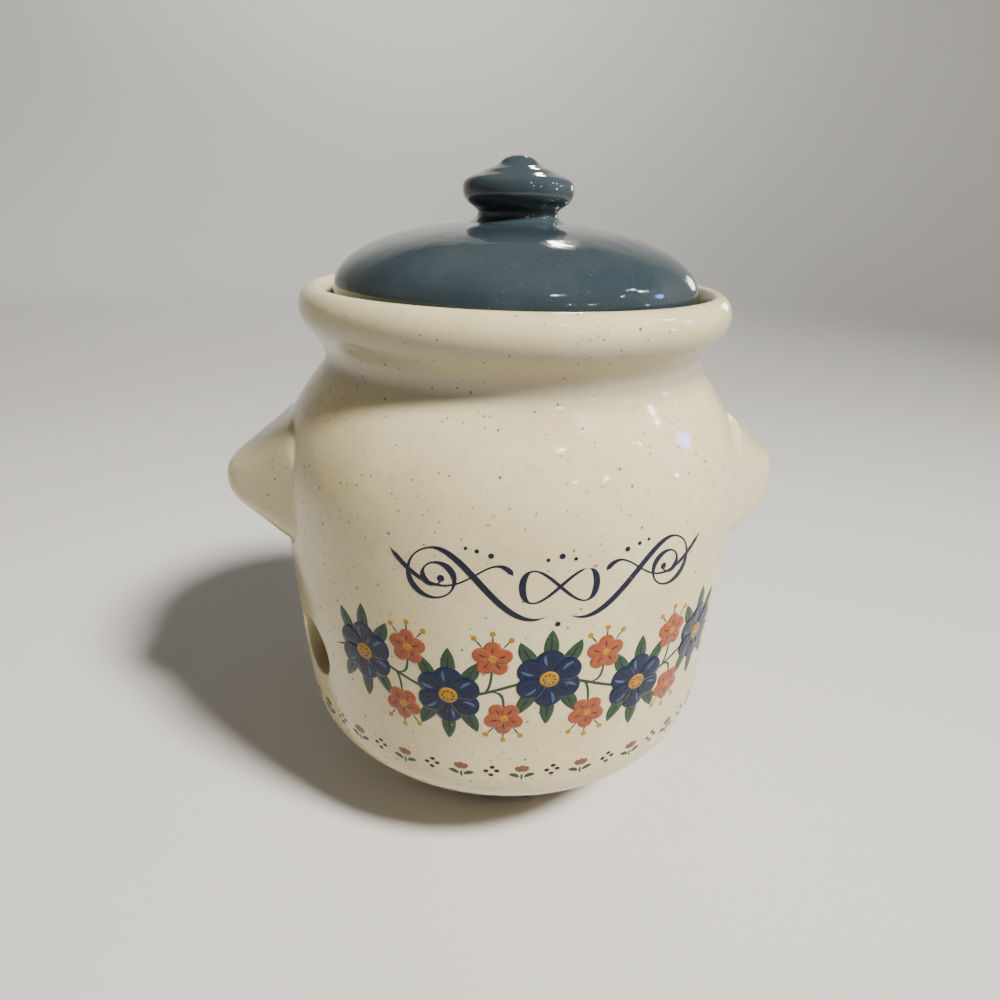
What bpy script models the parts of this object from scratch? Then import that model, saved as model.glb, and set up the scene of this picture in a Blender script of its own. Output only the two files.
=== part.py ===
"""A vented stoneware keeping crock with a seated lid, modelled piece by piece.

The crock stands on a turned foot ring, its axis on Z and its decorated face towards -Y.
Its wall is thrown as one shell with a rolled lip and, inside the lip, a ledge that the
lid sits on. Two beak-shaped lugs are luted to its sides. Two round vents go through the
wall lower down, between each lug and the decorated face. The lid is a domed shell with
a locating flange, and carries a turned knob. All lengths are in metres.
"""

import math

import bmesh
import bpy
import numpy as np
from mathutils import Matrix

# Standing height and outline of the wall, from the foot up
FOOT_RADIUS = 0.0335
FOOT_WIDTH = 0.0065
FOOT_ROUND = 0.0008
BASE_RECESS = 0.0022
HEEL_HEIGHT = 0.0455
HEEL_RADIUS = 0.0617
BELLY_RISE = 0.0515
BELLY_SWELL = 0.0023
SHOULDER_RISE = 0.0318
NECK_RADIUS = 0.0509
LIP_RISE = 0.0127
LIP_FLARE = 0.0059
RIM_RISE = 0.0052
RIM_TUCK = 0.0039
BELLY_HEIGHT = HEEL_HEIGHT + BELLY_RISE
BELLY_RADIUS = HEEL_RADIUS + BELLY_SWELL
NECK_HEIGHT = BELLY_HEIGHT + SHOULDER_RISE
LIP_HEIGHT = NECK_HEIGHT + LIP_RISE
LIP_RADIUS = NECK_RADIUS + LIP_FLARE
RIM_HEIGHT = LIP_HEIGHT + RIM_RISE
RIM_RADIUS = LIP_RADIUS - RIM_TUCK
WALL = 0.0055
FLOOR_THICKNESS = 0.0060

# How far each curve of the wall keeps its end's direction, as shares of its drop or turn
LIP_PULLS = (0.42, 0.45)
SHOULDER_PULLS = (0.14, 0.64)
BELLY_PULLS = (0.32, 0.30)
BELLY_LEAN = 0.70
HEEL_PULLS = (0.43, 0.65)
HEEL_LEANS = (0.08, 0.96)
FLOOR_BEND = 2.2
FLOOR_PULLS = (0.45, 0.75, 1.75)
RIM_PULL = 0.55
RIM_INSIDE_PULL = 0.40
RIM_INSIDE_DROP = 0.30

# The ledge inside the lip that the lid rests on
SEAT_DEPTH = 0.0065
GALLERY_WALL = 0.0061
SEAT_HEIGHT = RIM_HEIGHT - SEAT_DEPTH
GALLERY_RADIUS = LIP_RADIUS - GALLERY_WALL
LEDGE_ROUND = 0.0010

# Two round vents through the wall, either side of the decorated face
VENT_DIAMETER = 0.0176
VENT_HEIGHT = 0.0533
VENT_ANGLE = math.radians(64.0)

# Side lugs, luted on by hand: the left one is shallower below its tip
LUG_REACH = 0.0159
LUG_HALF_WIDTH = 0.0260
LUG_TIP_DROP = 0.0026
LUG_RISE = 0.0155
LEFT_LUG_DROP = 0.0123
RIGHT_LUG_DROP = 0.0172
LUG_TIP_HEIGHT = BELLY_HEIGHT - LUG_TIP_DROP
LUG_TIP_ROUND = 0.0055
LUG_NOSE_ROUND = 0.0160
LUG_SECTION_POWER = 4.5
LUG_ROOT_DEPTH = 0.0085
LUG_CROWN = 0.0034

# Lid: a dome, its flange under the edge, and the knob on top
LID_PLAY = 0.0028
LID_EDGE_HEIGHT = 0.0060
LID_DOME_HEIGHT = 0.0216
LID_SHELL = 0.0048
FLANGE_PLAY = 0.0010
FLANGE_DEPTH = 0.0050
FLANGE_WALL = 0.0038
FLANGE_BEVEL = 0.0008
LID_DOME_PULLS = (0.56, 0.10)
LID_EDGE_PULLS = (0.03, 0.53)
LID_EDGE_TUCK = 0.0011
LID_EDGE_SHARES = (0.40, 0.45, 1.30)
KNOB_FOOT_RADIUS = 0.0124
KNOB_NECK_RADIUS = 0.0104
KNOB_RADIUS = 0.0143
KNOB_TIP_RADIUS = 0.0062
KNOB_HEIGHT = 0.0157
KNOB_NECK_SHARE = 0.13
KNOB_BULB_SHARE = 0.48
KNOB_TIP_SHARE = 0.81
KNOB_CROWN_PULLS = (0.62, 0.82, 0.45)
KNOB_SHOULDER_PULLS = (0.0035, 0.0016, 0.0032)
KNOB_UNDER_PULLS = (0.0030, 0.0018)
KNOB_FLARE_PULLS = (0.0008, 0.0004)

# Clearance between touching pieces, and how finely round forms are cut
GAP = 0.0003
MERGE = 0.00002
TURN_STEPS = 64
KNOB_STEPS = 40
VENT_SIDES = 32
LUG_SIDES = 32
LUG_RINGS = 14
CRISP_EDGE = math.radians(50.0)

# Finishes: base colour, roughness, metallic
CREAM_GLAZE = ((0.62, 0.55, 0.43, 1.0), 0.22, 0.0)
SLATE_GLAZE = ((0.085, 0.125, 0.150, 1.0), 0.16, 0.0)


def bezier(start, pull_start, pull_end, end, steps):
    """Points (radius, height) of a cubic Bezier curve, the first one left out."""
    t = np.linspace(0.0, 1.0, steps + 1)[1:, None]
    corners = [np.array(p) for p in (start, pull_start, pull_end, end)]
    weights = ((1 - t) ** 3, 3 * t * (1 - t) ** 2, 3 * t * t * (1 - t), t ** 3)
    return [tuple(p) for p in sum(w * c for w, c in zip(weights, corners))]


def offset_inward(points, distance):
    """Move each point of a downward outer outline by distance, square to it, inwards."""
    line = np.array(points)
    run = np.gradient(line, axis=0)
    run /= np.linalg.norm(run, axis=1)[:, None]
    return line + distance * np.stack([run[:, 1], -run[:, 0]], axis=1)


def outer_wall():
    """The wall's outer outline from the lip down to the foot."""
    lip = (LIP_RADIUS, LIP_HEIGHT)
    neck = (NECK_RADIUS, NECK_HEIGHT)
    belly = (BELLY_RADIUS, BELLY_HEIGHT)
    heel = (HEEL_RADIUS, HEEL_HEIGHT)
    foot = (FOOT_RADIUS, FOOT_ROUND)
    lip_drop = LIP_HEIGHT - NECK_HEIGHT
    shoulder_drop = NECK_HEIGHT - BELLY_HEIGHT
    belly_drop = BELLY_HEIGHT - HEEL_HEIGHT
    belly_taper = BELLY_RADIUS - HEEL_RADIUS
    heel_turn = HEEL_RADIUS - FOOT_RADIUS
    points = [lip]
    points += bezier(lip, (LIP_RADIUS, LIP_HEIGHT - LIP_PULLS[0] * lip_drop),
                     (NECK_RADIUS, NECK_HEIGHT + LIP_PULLS[1] * lip_drop), neck, 5)
    points += bezier(neck, (NECK_RADIUS, NECK_HEIGHT - SHOULDER_PULLS[0] * shoulder_drop),
                     (BELLY_RADIUS, BELLY_HEIGHT + SHOULDER_PULLS[1] * shoulder_drop), belly, 7)
    points += bezier(belly, (BELLY_RADIUS, BELLY_HEIGHT - BELLY_PULLS[0] * belly_drop),
                     (HEEL_RADIUS + BELLY_LEAN * belly_taper,
                      HEEL_HEIGHT + BELLY_PULLS[1] * belly_drop), heel, 4)
    points += bezier(heel, (HEEL_RADIUS - HEEL_LEANS[0] * heel_turn, HEEL_PULLS[0] * HEEL_HEIGHT),
                     (FOOT_RADIUS + HEEL_LEANS[1] * heel_turn, HEEL_PULLS[1] * HEEL_HEIGHT),
                     foot, 7)
    return points


def wall_outline():
    """The closed wall: inner floor, inner face, ledge, rim, outer face, foot and base."""
    outer = outer_wall()
    floor = BASE_RECESS + FLOOR_THICKNESS
    neck_at = outer.index(next(p for p in outer if p[1] <= NECK_HEIGHT + MERGE))
    inner = offset_inward(outer, WALL)[neck_at:]
    bowl_start = floor + FLOOR_BEND * WALL
    inner = [tuple(p) for p in inner if p[1] > bowl_start]
    turn, above = inner[-1], inner[-2]
    slope = (turn[0] - above[0]) / (above[1] - turn[1])
    bend = turn[1] - floor
    bowl = bezier(turn, (turn[0] + FLOOR_PULLS[0] * slope * bend, turn[1] - FLOOR_PULLS[0] * bend),
                  (turn[0] - FLOOR_PULLS[1] * bend, floor),
                  (turn[0] - FLOOR_PULLS[2] * bend, floor), 4)
    throat = NECK_RADIUS - WALL
    rim = (RIM_RADIUS, RIM_HEIGHT)
    wall_top = RIM_HEIGHT - RIM_INSIDE_DROP * (RIM_HEIGHT - SEAT_HEIGHT)
    points = [(0.0, floor)]
    points += bowl[::-1]
    points += inner[::-1]
    points += [(throat, SEAT_HEIGHT - LEDGE_ROUND), (throat + LEDGE_ROUND, SEAT_HEIGHT),
               (GALLERY_RADIUS, SEAT_HEIGHT)]
    points += bezier((GALLERY_RADIUS, SEAT_HEIGHT), (GALLERY_RADIUS, wall_top),
                     (RIM_RADIUS - RIM_INSIDE_PULL * (RIM_RADIUS - GALLERY_RADIUS), RIM_HEIGHT),
                     rim, 3)
    points += bezier(rim, (RIM_RADIUS + RIM_PULL * (LIP_RADIUS - RIM_RADIUS), RIM_HEIGHT),
                     (LIP_RADIUS, LIP_HEIGHT + RIM_PULL * (RIM_HEIGHT - LIP_HEIGHT)),
                     (LIP_RADIUS, LIP_HEIGHT), 4)
    points += outer[1:]
    ring_inside = FOOT_RADIUS - FOOT_WIDTH
    points += [(FOOT_RADIUS - FOOT_ROUND, 0.0), (ring_inside, 0.0),
               (ring_inside - BASE_RECESS, BASE_RECESS), (0.0, BASE_RECESS)]
    return points


def lid_outline():
    """The lid's dome, edge, seat, locating flange and hollow underside."""
    seat = SEAT_HEIGHT + GAP
    radius = GALLERY_RADIUS - LID_PLAY
    edge = seat + LID_EDGE_HEIGHT
    top = seat + LID_DOME_HEIGHT
    rise = top - edge
    run = radius - KNOB_FOOT_RADIUS
    dome_start = (KNOB_FOOT_RADIUS, top)
    dome = [dome_start]
    dome += bezier(dome_start,
                   (KNOB_FOOT_RADIUS + LID_DOME_PULLS[0] * run, top - LID_DOME_PULLS[1] * rise),
                   (radius - LID_EDGE_PULLS[0] * run, edge + LID_EDGE_PULLS[1] * rise),
                   (radius, edge), 8)
    under = offset_inward(dome, LID_SHELL)[:-2]
    flange_out = NECK_RADIUS - WALL - FLANGE_PLAY
    flange_in = flange_out - FLANGE_WALL
    flange_end = seat - FLANGE_DEPTH
    under = [tuple(p) for p in under if p[0] < flange_in - MERGE]
    half_tuck, half_up, full_tuck = LID_EDGE_SHARES
    points = [(0.0, top)]
    points += dome
    points += [(radius - half_tuck * LID_EDGE_TUCK, seat + half_up * LID_EDGE_HEIGHT),
               (radius - full_tuck * LID_EDGE_TUCK, seat)]
    points += [(flange_out, seat), (flange_out, flange_end + FLANGE_BEVEL),
               (flange_out - FLANGE_BEVEL, flange_end), (flange_in, flange_end),
               (flange_in, under[-1][1] - LID_SHELL)]
    points += under[::-1]
    points += [(0.0, under[0][1])]
    return points


def knob_outline():
    """The knob: a small tip on a wide bulb, over a narrow neck and a flared foot."""
    foot = SEAT_HEIGHT + GAP + LID_DOME_HEIGHT + GAP
    neck = foot + KNOB_NECK_SHARE * KNOB_HEIGHT
    bulb = foot + KNOB_BULB_SHARE * KNOB_HEIGHT
    tip = foot + KNOB_TIP_SHARE * KNOB_HEIGHT
    top = foot + KNOB_HEIGHT
    crown, crown_edge, crown_rise = KNOB_CROWN_PULLS
    out_pull, down_pull, up_pull = KNOB_SHOULDER_PULLS
    points = [(0.0, top)]
    points += bezier((0.0, top), (crown * KNOB_TIP_RADIUS, top),
                     (crown_edge * KNOB_TIP_RADIUS, tip + crown_rise * (top - tip)),
                     (KNOB_TIP_RADIUS, tip), 5)
    points += bezier((KNOB_TIP_RADIUS, tip), (KNOB_TIP_RADIUS + out_pull, tip - down_pull),
                     (KNOB_RADIUS, bulb + up_pull), (KNOB_RADIUS, bulb), 6)
    points += bezier((KNOB_RADIUS, bulb), (KNOB_RADIUS, bulb - KNOB_UNDER_PULLS[0]),
                     (KNOB_NECK_RADIUS, neck + KNOB_UNDER_PULLS[1]), (KNOB_NECK_RADIUS, neck), 6)
    points += bezier((KNOB_NECK_RADIUS, neck), (KNOB_NECK_RADIUS, foot + KNOB_FLARE_PULLS[0]),
                     (KNOB_FOOT_RADIUS - KNOB_FLARE_PULLS[0], foot + KNOB_FLARE_PULLS[1]),
                     (KNOB_FOOT_RADIUS, foot), 3)
    points += [(0.0, foot)]
    return points


def glaze(name, finish):
    """A material in the colour, roughness and metallic value of a finish."""
    colour, roughness, metallic = finish
    material = bpy.data.materials.new(name)
    material.use_nodes = True
    shader = material.node_tree.nodes["Principled BSDF"]
    shader.inputs["Base Color"].default_value = colour
    shader.inputs["Roughness"].default_value = roughness
    shader.inputs["Metallic"].default_value = metallic
    material.diffuse_color = colour
    return material


def mesh_object(name, mesh, collection):
    """A new object for a mesh, linked to one collection."""
    thing = bpy.data.objects.new(name, mesh)
    collection.objects.link(thing)
    return thing


def turned(name, outline, steps, collection, shift=0.0):
    """Turn an outline of (radius, height) points about Z with a Screw modifier."""
    mesh = bpy.data.meshes.new(name)
    points = [(r + shift if r > MERGE else 0.0, 0.0, z) for r, z in outline]
    edges = [(i, i + 1) for i in range(len(points) - 1)]
    mesh.from_pydata(points, edges, [])
    thing = mesh_object(name, mesh, collection)
    screw = thing.modifiers.new("turning", "SCREW")
    screw.axis = "Z"
    screw.angle = math.tau
    screw.steps = steps
    screw.render_steps = steps
    screw.use_merge_vertices = True
    screw.merge_threshold = MERGE
    screw.use_smooth_shade = True
    return thing


def cutter_of(thing):
    """Mark an object as a cutter: drawn as wire, and never rendered."""
    thing.hide_render = True
    thing.display_type = "WIRE"
    return thing


def boolean(thing, cutter, operation):
    """Cut, join or intersect an object with a cutter, exactly."""
    cut = thing.modifiers.new(cutter.name, "BOOLEAN")
    cut.operation = operation
    cut.solver = "EXACT"
    cut.object = cutter
    return cut


def lug_heights(reach, drop):
    """Lowest and highest point of a lug at each radius: slopes that meet in a round tip."""
    tip = BELLY_RADIUS + LUG_REACH
    centre = tip - LUG_TIP_ROUND
    limits = []
    for rise, side in ((drop, -1.0), (LUG_RISE, 1.0)):
        run = centre - BELLY_RADIUS
        lean = math.atan2(rise, run) + math.asin(-LUG_TIP_ROUND / math.hypot(rise, run))
        touch = centre + LUG_TIP_ROUND * math.sin(lean)
        slope = LUG_TIP_ROUND * math.cos(lean) + (touch - reach) * math.tan(lean)
        slope = np.minimum(slope, rise + LUG_CROWN)
        nose = np.sqrt(np.maximum(LUG_TIP_ROUND ** 2 - (reach - centre) ** 2, 0.0))
        limits.append(LUG_TIP_HEIGHT + side * np.where(reach > touch, nose, slope))
    return limits


def lug_half_widths(reach):
    """Half the width of a lug at each radius: a round nose, then straight flanks."""
    tip = BELLY_RADIUS + LUG_REACH
    centre = tip - LUG_NOSE_ROUND
    root = math.sqrt(BELLY_RADIUS ** 2 - LUG_HALF_WIDTH ** 2)
    run = centre - root
    lean = math.atan2(LUG_HALF_WIDTH, run) + math.asin(
        -LUG_NOSE_ROUND / math.hypot(LUG_HALF_WIDTH, run))
    touch = centre + LUG_NOSE_ROUND * math.sin(lean)
    flank = LUG_NOSE_ROUND * math.cos(lean) + (touch - reach) * math.tan(lean)
    nose = np.sqrt(np.maximum(LUG_NOSE_ROUND ** 2 - (reach - centre) ** 2, 0.0))
    return np.where(reach > touch, nose, flank)


def lug_blank(name, side, drop, collection):
    """A lug before it is fitted: sections square to its reach, lofted out to its tip.

    Each section is a rounded rectangle, |across/half width|^n + |up/half height|^n = 1.
    """
    tip = BELLY_RADIUS + LUG_REACH
    root = BELLY_RADIUS - LUG_ROOT_DEPTH
    lean_in = np.linspace(0.0, 0.5 * math.pi, LUG_RINGS + 1)[:-1]
    reach = root + (tip - root) * np.sin(lean_in)
    low, high = lug_heights(reach, drop)
    width = lug_half_widths(reach)
    turns = np.linspace(0.0, math.tau, LUG_SIDES, endpoint=False)
    blunt = 2.0 / LUG_SECTION_POWER
    across = np.sign(np.cos(turns)) * np.abs(np.cos(turns)) ** blunt
    up = np.sign(np.sin(turns)) * np.abs(np.sin(turns)) ** blunt
    middle = 0.5 * (low + high)
    tall = 0.5 * (high - low)
    shape = bmesh.new()
    rings = []
    for u, w, m, h in zip(reach, width, middle, tall):
        rings.append([shape.verts.new((side * u, w * a, m + h * b)) for a, b in zip(across, up)])
    point = shape.verts.new((side * tip, 0.0, LUG_TIP_HEIGHT))
    for inner, outer in zip(rings, rings[1:]):
        for i in range(LUG_SIDES):
            j = (i + 1) % LUG_SIDES
            shape.faces.new((inner[i], inner[j], outer[j], outer[i]))
    for i in range(LUG_SIDES):
        shape.faces.new((rings[-1][i], rings[-1][(i + 1) % LUG_SIDES], point))
    shape.faces.new(rings[0])
    bmesh.ops.recalc_face_normals(shape, faces=shape.faces)
    mesh = bpy.data.meshes.new(name)
    shape.to_mesh(mesh)
    shape.free()
    return mesh_object(name, mesh, collection)


def make_vent_cutters(cutters):
    """One round cutter through the wall at each vent."""
    made = []
    for name, side in (("vent_left", -1.0), ("vent_right", 1.0)):
        shape = bmesh.new()
        reach = 3.0 * WALL
        bmesh.ops.create_cone(shape, cap_ends=True, segments=VENT_SIDES,
                              radius1=0.5 * VENT_DIAMETER, radius2=0.5 * VENT_DIAMETER,
                              depth=2.0 * reach)
        across = Matrix.Rotation(0.5 * math.pi, 4, "X")
        outward = Matrix.Rotation(side * VENT_ANGLE, 4, "Z")
        place = Matrix.Translation((0.0, -HEEL_RADIUS, VENT_HEIGHT))
        shape.transform(outward @ place @ across)
        mesh = bpy.data.meshes.new(name)
        shape.to_mesh(mesh)
        shape.free()
        made.append(cutter_of(mesh_object(name, mesh, cutters)))
    return made


def set_sharp(thing):
    """Shade an object smooth, with its sharpest edges kept crisp."""
    thing.data.shade_smooth()
    thing.data.set_sharp_from_angle(angle=CRISP_EDGE)


def main():
    """Build the crock and its lid."""
    for old in list(bpy.data.objects):
        bpy.data.objects.remove(old, do_unlink=True)
    parts = bpy.data.collections.new("vented_crock")
    cutters = bpy.data.collections.new("cutters")
    bpy.context.scene.collection.children.link(parts)
    bpy.context.scene.collection.children.link(cutters)

    pot = turned("pot_wall", wall_outline(), TURN_STEPS, parts)
    for vent in make_vent_cutters(cutters):
        boolean(pot, vent, "DIFFERENCE")
    pot.data.materials.append(glaze("wall_glaze", CREAM_GLAZE))

    solid = [(0.0, RIM_HEIGHT)] + outer_wall() + [(0.0, FOOT_ROUND)]
    wall_cutter = cutter_of(turned("wall_solid", solid, TURN_STEPS, cutters, shift=GAP))
    for name, side, drop in (("left_lug", -1, LEFT_LUG_DROP), ("right_lug", 1, RIGHT_LUG_DROP)):
        lug = lug_blank(name, side, drop, parts)
        boolean(lug, wall_cutter, "DIFFERENCE")
        lug.data.materials.append(glaze(name + "_glaze", CREAM_GLAZE))
        set_sharp(lug)

    seat = bpy.data.objects.new("lid_seat", None)
    seat.location = (0.0, 0.0, SEAT_HEIGHT)
    parts.objects.link(seat)
    bpy.context.view_layer.update()
    lid = turned("lid_dome", lid_outline(), TURN_STEPS, parts)
    lid.data.materials.append(glaze("lid_glaze", SLATE_GLAZE))
    knob = turned("lid_knob", knob_outline(), KNOB_STEPS, parts)
    knob.data.materials.append(glaze("knob_glaze", SLATE_GLAZE))
    for piece in (lid, knob):
        piece.parent = seat
        piece.matrix_parent_inverse = seat.matrix_world.inverted()


main()
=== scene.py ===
"""The looks of a vented stoneware keeping crock: glazes, luted lugs, seated lid and prints.

Every shape is a surface worked out with numpy as a grid of points, in metres, in the
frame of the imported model: Z up from the foot, the decorated face towards -Y.
"""

import math

import bmesh
import bpy
import numpy as np
from mathutils import Matrix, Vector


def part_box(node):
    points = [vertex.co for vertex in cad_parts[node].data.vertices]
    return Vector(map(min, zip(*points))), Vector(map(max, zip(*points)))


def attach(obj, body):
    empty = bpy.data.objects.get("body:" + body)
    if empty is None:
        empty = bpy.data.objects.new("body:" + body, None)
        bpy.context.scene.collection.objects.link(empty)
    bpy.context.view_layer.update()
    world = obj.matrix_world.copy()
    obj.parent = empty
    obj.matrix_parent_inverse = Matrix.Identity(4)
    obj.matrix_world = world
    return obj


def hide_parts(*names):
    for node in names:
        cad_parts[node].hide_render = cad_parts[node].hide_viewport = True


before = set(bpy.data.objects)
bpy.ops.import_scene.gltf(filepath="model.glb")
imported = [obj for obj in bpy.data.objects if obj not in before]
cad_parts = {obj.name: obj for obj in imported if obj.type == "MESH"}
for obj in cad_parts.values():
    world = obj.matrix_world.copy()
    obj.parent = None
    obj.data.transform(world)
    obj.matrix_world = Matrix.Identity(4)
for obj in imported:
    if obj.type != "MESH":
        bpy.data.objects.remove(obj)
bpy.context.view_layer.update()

# The turned wall, foot to rim, as the potter's template gives it
FOOT_RADIUS = 0.0335
FOOT_WIDTH = 0.0065
FOOT_ROUND = 0.0009
BASE_RECESS = 0.0022
HEEL_HEIGHT = 0.0455
HEEL_RADIUS = 0.0617
BELLY_HEIGHT = 0.0970
BELLY_RADIUS = float(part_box("pot_wall")[1][1])
NECK_HEIGHT = 0.1288
NECK_RADIUS = 0.0509
LIP_HEIGHT = 0.1415
LIP_RADIUS = 0.0568
RIM_HEIGHT = float(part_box("pot_wall")[1][2])
RIM_RADIUS = 0.0529
WALL = 0.0055
FLOOR_THICKNESS = 0.0060
BOWL_HEIGHT = 0.0205
SEAT_HEIGHT = 0.1402
GALLERY_RADIUS = 0.0507
LEDGE_ROUND = 0.0010

# How far each curve of the wall keeps its end's direction, as shares of its drop or turn
LIP_PULLS = (0.42, 0.45)
SHOULDER_PULLS = (0.14, 0.64)
BELLY_PULLS = (0.32, 0.30)
BELLY_LEAN = 0.70
HEEL_PULLS = (0.43, 0.65)
HEEL_LEANS = (0.08, 0.96)
RIM_PULL = 0.55
RIM_INSIDE_PULL = 0.40
RIM_INSIDE_DROP = 0.30
BOWL_PULL = 0.62
BOWL_TURN = 0.0095

# Vents: bore, height, angle from the decorated face, and the softened glazed edge
VENT_RADIUS = 0.0085
VENT_HEIGHT = 0.0538
VENT_ANGLE = math.radians(64.0)
VENT_SOFTENING = 0.0007
VENT_MARGIN = 0.0036

# Lugs: reach past the belly, plan, section, fillet to the wall, and each one's own form:
# height of its tip, rise of its root above that, drop below it, and round of its tip
LUG_REACH = float(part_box("right_lug")[1][0]) - BELLY_RADIUS
LUG_HALF_WIDTH = 0.0262
LUG_FORMS = {"left_lug": (0.0946, 0.0158, 0.0131, 0.0076),
             "right_lug": (0.0920, 0.0192, 0.0144, 0.0134)}
LUG_NOSE_ROUND = 0.0160
LUG_ROOT_POWER = 3.8
LUG_TIP_POWER = 2.6
LUG_CROWN = 0.0034
LUG_FILLET = 0.0010
LUG_EDGE_DEPTH = 0.0003
LUG_EDGE_FLARE = 0.0004
LUG_ROOT_DEPTH = 0.0020
LUG_SEARCH_DEPTH = 0.012

# Lid and knob, and the small gap under each of them
GAP = 0.0003
LID_RADIUS = float(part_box("lid_dome")[1][0])
LID_TOP = float(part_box("lid_dome")[1][2])
LID_EDGE_HEIGHT = 0.0060
LID_SHELL = 0.0048
LID_SEAT = SEAT_HEIGHT + GAP
LID_DOME_PULLS = (0.56, 0.10)
LID_EDGE_PULLS = (0.03, 0.53)
LID_EDGE_DROP = 0.0028
LID_TUCK = 0.0017
LID_TUCK_PULL = (0.0004, 0.0012)
FLANGE_PLAY = 0.0010
FLANGE_OUTSIDE = NECK_RADIUS - WALL - FLANGE_PLAY
FLANGE_WALL = 0.0038
FLANGE_DEPTH = 0.0050
FLANGE_ROUND = 0.0010
HOLLOW_INSET = 0.0012
HOLLOW_DROP = 0.0010
HOLLOW_ROUND = 0.0030
KNOB_FOOT_RADIUS = 0.0124
KNOB_NECK_RADIUS = 0.0104
KNOB_RADIUS = float(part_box("lid_knob")[1][1])
KNOB_TIP_RADIUS = 0.0062
KNOB_TOP = float(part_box("lid_knob")[1][2])
KNOB_SINK = 0.0004
KNOB_FLARE = 0.0020

# Heights on the knob and on its crown's side, as shares, and where the fold under the
# crown lies: out from the tip's radius and down from the tip's height
KNOB_NECK_SHARE = 0.13
KNOB_BULB_SHARE = 0.48
KNOB_TIP_SHARE = 0.82
CROWN_SIDE_SHARES = (0.75, 0.46)
KNOB_FOLD = (0.0030, 0.0010)

# Points to a circle of each turned piece and to a lug, and how close points must be to be one
POT_COLUMNS = 288
LID_COLUMNS = 240
KNOB_COLUMNS = 160
LUG_COLUMNS = 128
MERGE = 1e-6

# Rows of points: each part of a vent's edge, its bore, a lug, its fillet, and halvings of
# the search for a lug's reach
VENT_ROWS = 7
BORE_ROWS = 5
LUG_ROWS = 46
FILLET_ROWS = 12
HALVINGS = 40

# Throwing rings in the skin: how many to a metre, and how deep
RING_SCALE = 210.0
RING_DEPTH = 0.000035

# Skin of each finish: noise to a metre, and depth
CREAM_SKIN = ((55.0, 0.00045), (260.0, 0.00005), (1100.0, 0.000008))
SLATE_SKIN = ((75.0, 0.00035), (320.0, 0.00004), (1200.0, 0.000008))
INK_SKIN = ((55.0, 0.00045), (260.0, 0.00005))

# How strongly each finish mirrors
CREAM_IOR = 1.52
SLATE_IOR = 1.56
INK_IOR = 1.34

# Glaze and clay colours
CREAM = (0.610, 0.530, 0.322, 1.0)
CREAM_DEEP = (0.555, 0.465, 0.258, 1.0)
CREAM_GRAIN = (0.400, 0.310, 0.185, 1.0)
# Brown of the painted shade under the lip
LIP_SHADE_BROWN = (0.325, 0.290, 0.210, 1.0)
# Brown of the painted shade towards the foot
FOOT_SHADE_BROWN = (0.400, 0.310, 0.190, 1.0)
IRON = (0.125, 0.105, 0.072, 1.0)
CLAY = (0.420, 0.300, 0.190, 1.0)
SLATE = (0.030, 0.043, 0.051, 1.0)
SLATE_DEEP = (0.019, 0.031, 0.039, 1.0)
SLATE_PALE_SPECK = (0.110, 0.130, 0.125, 1.0)
SLATE_DARK_SPECK = (0.012, 0.017, 0.020, 1.0)
WORN_PRINT = (0.560, 0.490, 0.380, 1.0)

# Specks: cells to a metre, size in a cell, share of cells, strength and colour
CREAM_SPECKS = ((1500.0, 0.26, 0.40, 0.40, IRON), (900.0, 0.30, 0.16, 0.75, IRON),
                (380.0, 0.165, 0.60, 0.90, IRON))
SLATE_SPECKS = ((1300.0, 0.28, 0.30, 0.35, SLATE_PALE_SPECK),
                (1000.0, 0.28, 0.20, 0.55, SLATE_DARK_SPECK))

# Painted shade under the lip, a brown band between the neck and the lip: middle, full reach,
# last reach and strength
LIP_SHADE_HEIGHT = NECK_HEIGHT + 0.0047
LIP_SHADE_INNER = 0.0046
LIP_SHADE_OUTER = 0.0104
LIP_SHADE_STRENGTH = 0.80

# Printed glaze colours, and how worn each is
INKS = {
    "navy": ((0.005, 0.011, 0.040), 0.22),
    "pen": ((0.005, 0.008, 0.026), 0.10),
    "sky": ((0.045, 0.075, 0.150), 0.25),
    "dark": ((0.006, 0.007, 0.012), 0.20),
    "leaf": ((0.023, 0.053, 0.026), 0.35),
    "coral": ((0.275, 0.067, 0.026), 0.30),
    "pink": ((0.180, 0.068, 0.038), 0.36),
    "ochre": ((0.350, 0.168, 0.011), 0.30),
}

# Prints on the glaze: how far they stand proud, the step between layers, the radius of
# their arcs, where the points across a stroke lie and how proud, and the share of a
# stroke's width below which it sinks
PRINT_PROUD = 0.00005
PRINT_LAYER = 0.00002
PRINT_RADIUS = 0.0625
STROKE_ACROSS = np.array([-1.0, -0.95, -0.55, 0.0, 0.55, 0.95, 1.0, 0.4, -0.4])
STROKE_LEVEL = np.array([0.0, 1.0, 1.0, 1.0, 1.0, 1.0, 0.0, -1.0, -1.0])
STROKE_END = 0.2

# The border's height, motifs and first place
BORDER_HEIGHT = 0.0358
BORDER_MOTIFS = 50
BORDER_START = math.radians(-3.1)

# The garland: its middle, its stem's height, wave and end, where its blossoms stand on the
# stem, and where its sprigs stand beside the middle and above the stem's height
GARLAND_MIDDLE = 0.0016
STEM_HEIGHT = 0.0620
STEM_WAVE = 0.0030
STEM_PERIOD = 0.0470
STEM_END = 0.0570
STEM_TAPER = 0.0040
BLOSSOMS = (0.0, -0.0235, 0.0235, -0.0460, 0.0460)
SPRIGS = ((0.0132, 0.0087), (0.0102, -0.0086), (0.0354, -0.0087), (0.0334, 0.0086))

# The flourish: its middle, the nib's slant, its thin and thick lines and its scrolls
FLOURISH_MIDDLE = 0.0026
FLOURISH_HEIGHT = 0.0897
PEN_SLANT = math.radians(-38.0)
PEN_THIN = 0.00042
PEN_THICK = 0.0016
WAVE_THICK = 0.0013
SCROLL_PLACE = 0.0272

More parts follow.
